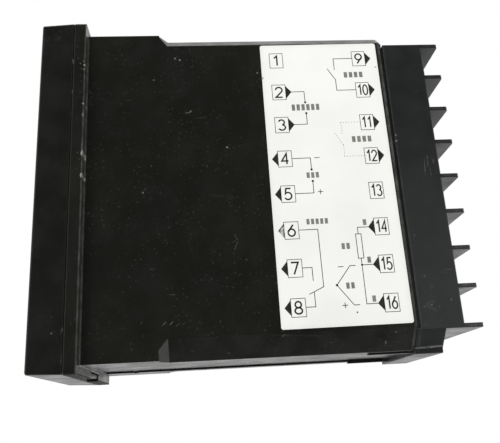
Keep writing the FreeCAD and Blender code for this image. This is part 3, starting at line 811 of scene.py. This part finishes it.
def displays():
    """Unlit seven-segment bars on the faces of both display modules."""
    lean = math.tan(math.radians(8))
    film = mm(-0.02, 0.04)
    for node, name in (("measured_value_display", "measured_value_segments"),
                       ("set_value_display", "set_value_segments")):
        low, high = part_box(node)
        pitch = (high[0] - low[0]) / 4
        height = (high[2] - low[2]) * 0.68
        point = ring((pitch * 0.4, -height / 2), (pitch * 0.06, pitch * 0.06), 12)
        builder = bmesh.new()
        for digit in range(4):
            place = on_front(low[0] + (digit + 0.46) * pitch, low[1], (low[2] + high[2]) / 2, lean)
            for outline in segment_outlines(pitch * 0.5, height, pitch * 0.11) + [point]:
                add_prism(builder, outline, *film, place)
        add_piece(name, builder, ["segment_lens"])


def rounded_frame(half_a, half_b, radius):
    """Points round a rounded rectangle."""
    points = []
    for index, (a, b) in enumerate(((1, 1), (-1, 1), (-1, -1), (1, -1))):
        points += arc((a * (half_a - radius), b * (half_b - radius)), (radius, radius),
                      90 * index, 90 * index + 90, 5)
    return points


def front_rules():
    """Fine rules on the front sheet: round the window, under the lamps and over the keys."""
    low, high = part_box("display_window")
    flange, margin, rule = mm(0.5, 1.1, 0.3)
    half_a, half_b = ((high[axis] - low[axis]) / 2 - flange + margin for axis in (0, 2))
    on_sheet = on_front(0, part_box("front_sheet")[0][1], 0)
    builder = bmesh.new()
    outline = [(a, (low[2] + high[2]) / 2 + b) for a, b in rounded_frame(half_a, half_b, 1.2 * MM)]
    add_stroke(builder, outline, rule, *INK, on_sheet, closed=True)
    lamp_low, lamp_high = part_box("indicator_lamps")
    lamp_radius = (lamp_high[2] - lamp_low[2]) / 2
    pitch = (lamp_high[0] - lamp_low[0] - 2 * lamp_radius) / 3
    half, below = mm(1.6, 1.6)
    for lamp in range(4):
        centre = lamp_low[0] + lamp_radius + lamp * pitch
        bar = [(centre - half, lamp_low[2] - below), (centre + half, lamp_low[2] - below)]
        add_stroke(builder, bar, 0.45 * MM, *INK, on_sheet)
    level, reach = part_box("key_set")[1][2] + 3.0 * MM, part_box("key_up")[1][0]
    add_stroke(builder, [(-reach, level), (reach, level)], rule, *INK, on_sheet)
    add_piece("front_rules", builder, ["pale_print"])


def key_symbols():
    """A ring on the set key, and a triangle on each of the others."""
    size, radius = mm(1.3, 1.05)
    triangle = [(0.0, size), (-0.95 * size, -0.65 * size), (0.95 * size, -0.65 * size)]
    for key, turn in (("key_set", None), ("key_shift", 90), ("key_down", 180), ("key_up", 0)):
        low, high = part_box(key)
        on_key = on_front((low[0] + high[0]) / 2, low[1], (low[2] + high[2]) / 2)
        builder = bmesh.new()
        if turn is None:
            add_stroke(builder, ring((0, 0), (radius, radius), 24), 0.4 * MM, *INK, on_key, closed=True)
        else:
            cosine, sine = math.cos(math.radians(turn)), math.sin(math.radians(turn))
            turned = [(a * cosine - b * sine, a * sine + b * cosine) for a, b in triangle]
            add_prism(builder, turned, *INK, on_key)
        add_piece(key + "_symbol", builder, ["pale_print"], key + "_body")


# ---------------- chassis
def add_contact(builder, rear, z, place):
    """A gold contact near the rear edge of a board."""
    start, end, half = rear - CONTACT_START, rear - 0.5 * MM, 3.2 * MM
    add_prism(builder, rectangle(start, z - half, end, z + half), *mm(-0.01, 0.04), place)


def contact_track(draw, start, z):
    """A track that leaves a contact forwards, shifts to one side and runs on."""
    bend = draw.uniform(8, 30) * MM
    shift = draw.choice((-1, 1)) * draw.uniform(1.5, 4.5) * MM
    end = draw.uniform(22, 40) * MM
    knee = start - bend - abs(shift)
    return [(start, z), (start - bend, z), (knee, z + shift), (knee - end, z + shift)]


def loose_track(draw, front):
    """A short track somewhere on a board, with one bend."""
    y = front + draw.uniform(6, 66) * MM
    z = draw.uniform(-39, 39) * MM
    half = draw.uniform(4, 16) * MM / 2
    turn = draw.choice((-1, 1)) * draw.uniform(1, 4) * MM
    return [(y, z), (y + half, z), (y + half + abs(turn), z + turn)]


def board_traces():
    """Tracks, solder joints and edge contacts on both circuit boards."""
    draw = random.Random(23)
    tracks, joints, contacts = bmesh.new(), bmesh.new(), bmesh.new()
    joint = [mm(*point) for point in (
        (0, -0.012), (0.75, -0.012), (0.75, 0), (0.6, 0.096), (0.3, 0.204), (0, 0.24))]
    for board, track_width in (("power_board", 1.6 * MM), ("control_board", 0.7 * MM)):
        low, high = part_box(board)
        side = 1 if high[0] > 0 else -1
        outer, inner = (high[0], low[0]) if side > 0 else (low[0], high[0])
        outer_face = on_side(outer, side)
        for z in terminal_rows():
            for place in (outer_face, on_side(inner, -side)):
                add_contact(contacts, high[1], z, place)
            points = contact_track(draw, high[1] - CONTACT_START, z)
            add_stroke(tracks, points, track_width, *mm(-0.01, 0.03), outer_face)
        for track in range(34):
            points = loose_track(draw, low[1])
            width = draw.choice((0.25, 0.35, 0.6)) * MM
            add_stroke(tracks, points, width, *mm(-0.01, 0.025), outer_face)
        spots = [(low[1] + 1.25 * MM, pin * 2.54 * MM) for pin in range(-9, 10)]
        spots += [(low[1] + draw.uniform(8, 68) * MM, draw.uniform(-39, 39) * MM) for spot in range(60)]
        for spot in spots:
            add_turned(joints, joint, on_side(outer, side, *spot), 10)
    add_piece("board_tracks", tracks, ["track_mask"])
    add_piece("edge_contacts", contacts, ["gold_contact"])
    shade_smooth(add_piece("solder_joints", joints, ["solder"]), 60)


def leg_rows(builder, node, axis, count, pitch, reach):
    """Bent legs along two sides of a chip on the control board, spread along Y (1) or Z (2)."""
    low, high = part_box(node)
    board = high[0]
    other = 3 - axis
    half_width = 0.21 * MM
    for side in (-1, 1):
        edge = high[other] if side > 0 else low[other]
        bend = edge + side * reach * 0.45
        foot = (board - 0.16 * MM, board, bend, edge + side * reach)
        knee = (board - 0.7 * MM, board - 0.02 * MM, edge - side * 0.1 * MM, bend)
        for index in range(count):
            centre = (low[axis] + high[axis]) / 2 + (index - (count - 1) / 2) * pitch
            for bottom, top, start, end in (foot, knee):
                spans = {0: (bottom, top), axis: (centre - half_width, centre + half_width),
                         other: sorted((start, end))}
                add_block(builder, *([spans[direction][corner] for direction in range(3)]
                                     for corner in (0, 1)))


def chip_legs():
    """The legs of the three flat chips."""
    builder = bmesh.new()
    for node, axis, count, pitch, reach in (
            ("controller_chip", 1, 12, 0.95, 1.3), ("controller_chip", 2, 12, 0.95, 1.3),
            ("converter_chip", 2, 8, 1.1, 1.1), ("memory_chip", 1, 4, 1.2, 1.0)):
        leg_rows(builder, node, axis, count, *mm(pitch, reach))
    add_piece("chip_legs", builder, ["solder"])


def small_parts():
    """Small parts on the control board's inner face, clear of the larger ones."""
    draw = random.Random(37)
    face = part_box("control_board")[0][0]
    half_long, half_short, margin = mm(1.0, 0.62, 1.9)
    taken = []
    for node in ("controller_chip", "converter_chip", "memory_chip", "opto_isolators", "clock_crystal",
                 "calibration_trimmer", "rear_brace", "board_headers"):
        low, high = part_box(node)
        taken.append((low[1], high[1], low[2], high[2]))
    builder = bmesh.new()
    placed = 0
    while placed < 44:
        y = round(draw.uniform(8, 62)) * MM
        z = round(draw.uniform(-38, 38) / 2.5) * 2.5 * MM
        axis, centre = (1, y) if draw.random() < 0.5 else (2, z)
        half_y, half_z = (half_long, half_short) if axis == 1 else (half_short, half_long)
        tall = draw.choice((0.45, 0.7)) * MM
        if any(low_y - margin < y < high_y + margin and low_z - margin < z < high_z + margin
               for low_y, high_y, low_z, high_z in taken):
            continue
        placed += 1
        taken.append((y - half_y, y + half_y, z - half_z, z + half_z))
        add_block(builder, (face - tall, y - half_y * 0.98, z - half_z * 0.98),
                  (face, y + half_y * 0.98, z + half_z * 0.98), 0.06 * MM, draw.choice((0, 1)))
        for end in (-half_long, half_long):
            low = [face - tall - 0.02 * MM, y - half_y, z - half_z]
            high = [face, y + half_y, z + half_z]
            low[axis], high[axis] = sorted((centre + end, centre + end * 0.58))
            add_block(builder, low, high, 0.05 * MM, 2)
    add_piece("small_parts", builder, ["chip_black", "chip_tan", "solder"])


def can_tops():
    """Aluminium tops with a pressed cross on the two capacitors; the cross is a dark strip of painted
    shade.
    """
    board, top = (corner[0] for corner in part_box("supply_capacitors"))
    builder = bmesh.new()
    # The middle (y, z) of each can, its radius and where its top is.
    for y, z, radius, level in ((*mm(24, 6, 5), top), (*mm(12, 14, 4), board + 11 * MM)):
        place = on_side(level, 1, y, z)
        disc = radius - 0.9 * MM
        add_disc(builder, disc, *mm(0.2, -0.02, 0.08, 0.12), place, 32)
        for turn in (20, 110):
            angle = math.radians(turn)
            a, b = disc * 0.72 * math.cos(angle), disc * 0.72 * math.sin(angle)
            # Each arm of the pressed cross is a dark strip of painted shade.
            add_stroke(builder, [(-a, -b), (a, b)], *mm(0.22, 0.1, 0.17), place, material=1)
    add_piece("capacitor_tops", builder, ["aluminium", "painted_groove_shade"])


def trimmer_screw():
    """The brass adjusting screw at the upper end of the calibration trimmer, with its slot as a dark strip
    of painted shade.
    """
    low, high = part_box("calibration_trimmer")

    def place(a, b, height):
        return (low[0] + 1.7 * MM + a, low[1] + 1.8 * MM + b, high[2] + height)
    builder = bmesh.new()
    add_disc(builder, *mm(0.9, 0.15, -0.1, 0.5, 0.6), place, 20)
    # The slot is a dark strip of painted shade.
    add_stroke(builder, [(-0.7 * MM, 0), (0.7 * MM, 0)], *mm(0.2, 0.58, 0.63), place, material=1)
    add_piece("trimmer_screw", builder, ["tinned_brass", "painted_groove_shade"])


# ---------------- finishes
# Each scuff, and each painted highlight, is (y, z, turn, length, width, strength), in millimetres and
# degrees.
CASE_STREAKS = (
    (20.4, -36.7, 43, 1.7, 0.35, 0.4), (22.1, -36.7, 43, 1.7, 0.35, 0.4),
    (23.7, -37.1, 38, 1.9, 0.35, 0.34), (25.2, -36.9, 40, 1.3, 0.35, 0.16),
    (14.8, -36.3, 32, 1.0, 0.4, 0.18), (18.3, 31.3, -22, 0.8, 0.5, 0.55),
    (17.4, 5.4, -48, 0.9, 0.4, 0.25), (34.2, -36.8, 0, 0.5, 0.5, 0.4), (25.9, -34.9, 0, 0.4, 0.4, 0.3),
    (0.9, 24.4, -25, 1.8, 1.0, 0.08), (0.8, 28.1, -73, 2.0, 0.9, 0.07),
    (6.2, 27.5, -25, 2.4, 0.9, 0.04), (-0.4, 35.7, 0, 0.6, 0.6, 0.7), (-0.2, 34.5, 0, 0.8, 0.7, 1.5),
    (-0.3, 33.1, -10, 0.8, 0.6, 0.7), (-1.3, 35.0, 0, 0.5, 0.5, 0.35), (-1.9, 36.6, 0, 0.5, 0.4, 0.3),
    (-1.0, 33.4, 0, 0.5, 0.4, 0.35), (-0.2, 22.7, 0, 0.8, 0.7, 1.4), (-0.2, 19.1, -86, 2.4, 0.6, 0.8),
    (-0.3, 10.0, -88, 3.0, 0.5, 0.4), (53.3, -41.1, -3, 16.0, 0.4, 0.1),
    (49.6, -41.0, 30, 1.8, 0.4, 0.3), (76.0, -43.6, -70, 1.0, 0.5, 0.7),
    (62.0, -43.0, 5, 1.2, 0.4, 0.2), (27.0, -43.4, 0, 0.6, 0.5, 0.35), (36.0, -44.2, 10, 1.0, 0.4, 0.2),
    (-0.1, 8.2, -88, 2.2, 1.0, 1.7), (-0.1, 2.0, -88, 1.6, 1.0, 1.7), (-1.3, 8.4, 0, 0.5, 0.5, 0.3),
    (27.4, 20.9, 9, 2.2, 0.4, 0.45), (28.3, 21.3, 40, 1.0, 0.45, 0.9), (37.9, 10.2, 0, 0.7, 0.7, 1.3),
    (39.1, -15.2, -67, 2.6, 0.4, 0.2), (39.0, -17.6, -111, 3.4, 0.4, 0.24),
    (38.4, -16.4, 30, 1.4, 0.4, 0.22), (41.5, -21.3, 0, 0.6, 0.5, 0.3),
    (36.1, -3.9, -7, 9.0, 1.0, 0.04),
)
BEZEL_STREAKS = (
    (-3.7, -37.8, 71, 2.2, 0.4, 0.32), (-4.5, -40.2, 80, 1.7, 0.35, 0.2),
    (-3.5, -44.2, 88, 3.4, 0.35, 0.25), (-3.3, 35.9, -86, 1.6, 0.7, 1.0),
    (-3.2, 26.4, -86, 1.8, 0.5, 0.8), (-3.2, 20.3, -87, 1.4, 0.5, 0.5),
    (-10.4, 43.0, 60, 2.6, 1.4, 0.05), (-7.6, 43.2, 40, 2.4, 1.4, 0.05),
    (-11.4, 41.5, 88, 7.0, 0.5, 0.08),
)
BLOCK_STREAKS_AND_HIGHLIGHTS = (
    (91.6, 2.8, -94, 6.4, 0.35, 0.3), (92.6, 4.4, -94, 4.4, 0.35, 0.28),
    (93.0, 1.1, -92, 3.6, 0.35, 0.24), (94.2, 4.3, -94, 1.9, 0.35, 0.3),
    (84.8, 12.4, -52, 0.9, 0.6, 0.9), (84.6, 10.6, 25, 1.2, 0.6, 0.7), (87.6, -34.6, 20, 3.4, 1.1, 0.1),
    (87.9, -36.0, -30, 4.0, 0.9, 0.1), (86.6, -35.3, 60, 2.4, 0.8, 0.12),
    (87.1, -27.6, -71, 0.9, 0.5, 0.5), (87.9, -35.1, 20, 0.8, 0.5, 0.5),
    (86.0, -35.5, 30, 0.9, 0.5, 0.4), (89.9, -35.7, -50, 0.7, 0.5, 0.5),
    (93.2, -34.0, 60, 0.8, 0.5, 0.4), (89.8, -39.2, -50, 0.7, 0.5, 0.3),
    (85.8, -40.0, 0, 0.6, 0.5, 0.3), (88.6, -30.5, 60, 1.8, 0.5, 0.16),
    # A painted highlight along the top edge of the block's foot.
    (87.7, -45.2, 2, 10.4, 0.6, 1.0),
# Then a painted highlight along each of the nine barriers, brighter on the lower ones.
) + tuple((98.3, 10.16 * barrier, 0, 5.6, 0.8, 0.13 - 0.02 * barrier) for barrier in range(-4, 5))

# What soft_finish takes: two colours and the roughness, then scale, grain, relief and specular.
SOFT_FINISHES = {
    "sheet_film": ((22, 23, 24), (27, 28, 29), 0.5, 200, 2600, 0.3, 0.3),
    "display_body": ((24, 24, 26), (30, 30, 32), 0.45),
    "component_black": ((20, 20, 21), (27, 27, 28), 0.5, 400, 2200, 0.3),
    "relay_case": ((24, 34, 58), (30, 42, 68), 0.35, 120, 2200, 0.12),
    "disc_blue": ((38, 74, 140), (32, 62, 122), 0.35, 200, 900, 0.25),
    "key_rubber": ((56, 58, 60), (64, 66, 68), 0.6, 260, 2400, 0.35, 0.35),
    "plunger_plastic": ((196, 70, 52), (182, 60, 44), 0.4),
    "track_mask": ((44, 122, 66), (38, 110, 58), 0.3, 200, 1500, 0.1),
    "chip_black": ((24, 24, 25), (32, 32, 33), 0.45, 900),
    "chip_tan": ((170, 142, 108), (156, 128, 96), 0.5, 900),
    # Painted shade for the pressed grooves and the screw slot.
    "painted_groove_shade": ((52, 52, 52), (62, 62, 62), 0.6),
}
# What metal takes: two colours, the roughness and the scale.
METALS = {
    "tinned_brass": ((214, 206, 178), (190, 178, 140), 0.32),
    "plated_steel": ((206, 208, 208), (178, 180, 178), 0.3),
    "crystal_can": ((200, 202, 204), (176, 178, 180), 0.28),
    "gold_contact": ((226, 186, 98), (204, 160, 74), 0.25),
    "solder": ((206, 208, 210), (168, 170, 172), 0.28, 500),
    "aluminium": ((214, 216, 218), (190, 192, 194), 0.3, 300),
}
materials = {
    # Along the flange's rear edge, pale dust with a painted reflection; along the case's rear edge, a
    # painted highlight.
    "case_plastic": moulded_plastic(
        "case_plastic", srgb(21, 22, 17), srgb(25, 25, 20), 0.5, 0.34, 0.55, 0.25, CASE_STREAKS,
        ((0.0, 0.45, 0.42), (83.5, 0.8, 0.45)), matt_below=-47.7, fine_strength=0.09),
    # Paler lower down, to just above the foot.
    "block_plastic": moulded_plastic(
        "block_plastic", srgb(29, 31, 31), srgb(37, 39, 38), 0.4, 0.36, 0.6, 0.3, BLOCK_STREAKS_AND_HIGHLIGHTS,
        ((84.5, 0.4, 0.12),), (20, -41.4, srgb(47, 50, 48))),
    # The band along the bezel's rear edge is a painted highlight.
    "bezel_plastic": moulded_plastic(
        "bezel_plastic", srgb(15, 15, 11), srgb(18, 18, 14), 0.5, 0.36, 0.5, 0.35, BEZEL_STREAKS,
        ((-3.15, 0.22, 0.2),)),
    "label_card": label_card(),
    "window_acrylic": tinted_window(),
    "board_laminate": board_laminate(),
    "core_steel": laminated_steel(),
    "coil_tape": wound_tape(),
    "capacitor_sleeve": shrunk_sleeve(),
    "lamp_lens": frosted_lens("lamp_lens", srgb(196, 120, 104), srgb(182, 104, 90)),
    "segment_lens": frosted_lens("segment_lens", srgb(150, 132, 126), srgb(140, 122, 116)),
    "pale_print": print_ink("pale_print", srgb(206, 207, 205), srgb(190, 191, 189)),
    "print_grey": print_ink("print_grey", srgb(118, 119, 114), srgb(136, 137, 131)),
}
materials.update({name: soft_finish(name, *values) for name, values in SOFT_FINISHES.items()})
materials.update({name: metal(name, *values) for name, values in METALS.items()})


def finish_nodes():
    """Give each CAD node the finish of its slot; the brace is as plain as the components round it."""
    plain = {"rear_brace": "component_black"}
    for subpart in frame["record"]["subparts"]:
        name = subpart["node"]
        slots = frame["nodes"][name].data.materials
        slots.clear()
        slots.append(materials[plain.get(name, subpart["material_slot"])])


# ---------------- stage, lights and camera
# The dark card in the world, by direction: where it starts and where it is full along X, Y and Z.
CARD_FROM_HORIZON = (-0.2, -0.1)
CARD_SIDES = (0.62, 0.46)
CARD_TOP = (0.95, 0.8)
CARD_DEPTH = 0.96


def floor_material():
    """Pale floor that a camera sees from above only, so that it never hides the underside."""
    shader = Shader("pale_floor")
    shader.set(Roughness=0.8, Specular_IOR_Level=0.1)
    shader.colour(srgb(238, 238, 236))
    clear = shader.add("ShaderNodeBsdfTransparent").outputs[0]
    camera_ray = shader.add("ShaderNodeLightPath").outputs["Is Camera Ray"]
    back = shader.add("ShaderNodeNewGeometry").outputs["Backfacing"]
    shown = shader.product(camera_ray, shader.math("SUBTRACT", 1.0, back))
    join = shader.add("ShaderNodeMixShader", {0: shown, 1: clear, 2: shader.principled.outputs[0]})
    shader.feed(shader.nodes["Material Output"], "Surface", join.outputs[0])
    return shader.material


def add_floor():
    low = cad_bounds[0][2]
    half = 3.0
    mesh = bpy.data.meshes.new("floor")
    mesh.from_pydata([(-half, -half, low), (half, -half, low), (half, half, low), (-half, half, low)], [],
                     [(0, 1, 2, 3)])
    mesh.materials.append(floor_material())
    floor = add_object("floor", mesh)


def set_world(level):
    """An even soft light that camera, glass and reflections see as plain white.

    Reflections also see one long dark card beyond the label side, from above the object down to its foot,
    which keeps the black plastic black."""
    world = bpy.data.worlds.new("studio")
    bpy.context.scene.world = world
    world.use_nodes = True
    tree = NodeTree(world.node_tree, "Generated")
    path = tree.add("ShaderNodeLightPath").outputs

    def fade(value, ends, start=0.0):
        return tree.ramp(value, *ends, start, curve="LINEAR")
    seen = tree.highest(path["Is Camera Ray"], path["Is Glossy Ray"], path["Is Transmission Ray"])
    card = tree.product(fade(tree.axis("X"), CARD_FROM_HORIZON), fade(tree.away("Y"), CARD_SIDES),
                        fade(tree.axis("Z"), CARD_TOP), path["Is Glossy Ray"], CARD_DEPTH)
    background = tree.nodes["Background"]
    background.inputs["Color"].default_value = (1, 1, 1, 1)
    strength = tree.product(fade(seen, (0.0, 1.0), level), tree.math("SUBTRACT", 1.0, card))
    tree.feed(background, "Strength", strength)


def add_key_light():
    """One large soft lamp in front of the label side and above it, which leaves no spot on glossy faces."""
    place, target = Vector((0.55, -0.1, 0.75)), Vector((0, 0.04, 0))
    data = bpy.data.lights.new("key", "AREA")
    data.shape = "DISK"
    data.size = 0.6
    data.energy = 5.0
    lamp = add_object("key", data)
    lamp.location = place
    lamp.rotation_euler = (target - place).to_track_quat("-Z", "Y").to_euler()
    lamp.visible_glossy = False


def add_camera():
    """The close view of the label side, from a little below and behind the flange."""
    data = bpy.data.cameras.new("camera")
    data.sensor_width = 36.0
    data.lens = 44.02
    data.clip_start = 0.005
    camera = add_object("camera", data)
    camera.location = (0.17272, 0.03161, -0.05935)
    camera.rotation_euler = Euler([math.radians(angle) for angle in (107.596, 3.146, 86.730)])
    bpy.context.scene.camera = camera


# ---------------- making
add_camera()
add_floor()
set_world(0.72)
add_key_light()

label_print()
rear_screws()
displays()
front_rules()
key_symbols()
board_traces()
chip_legs()
small_parts()
can_tops()
trimmer_screw()
finish_nodes()
bpy.context.scene.view_settings.view_transform = "Standard"
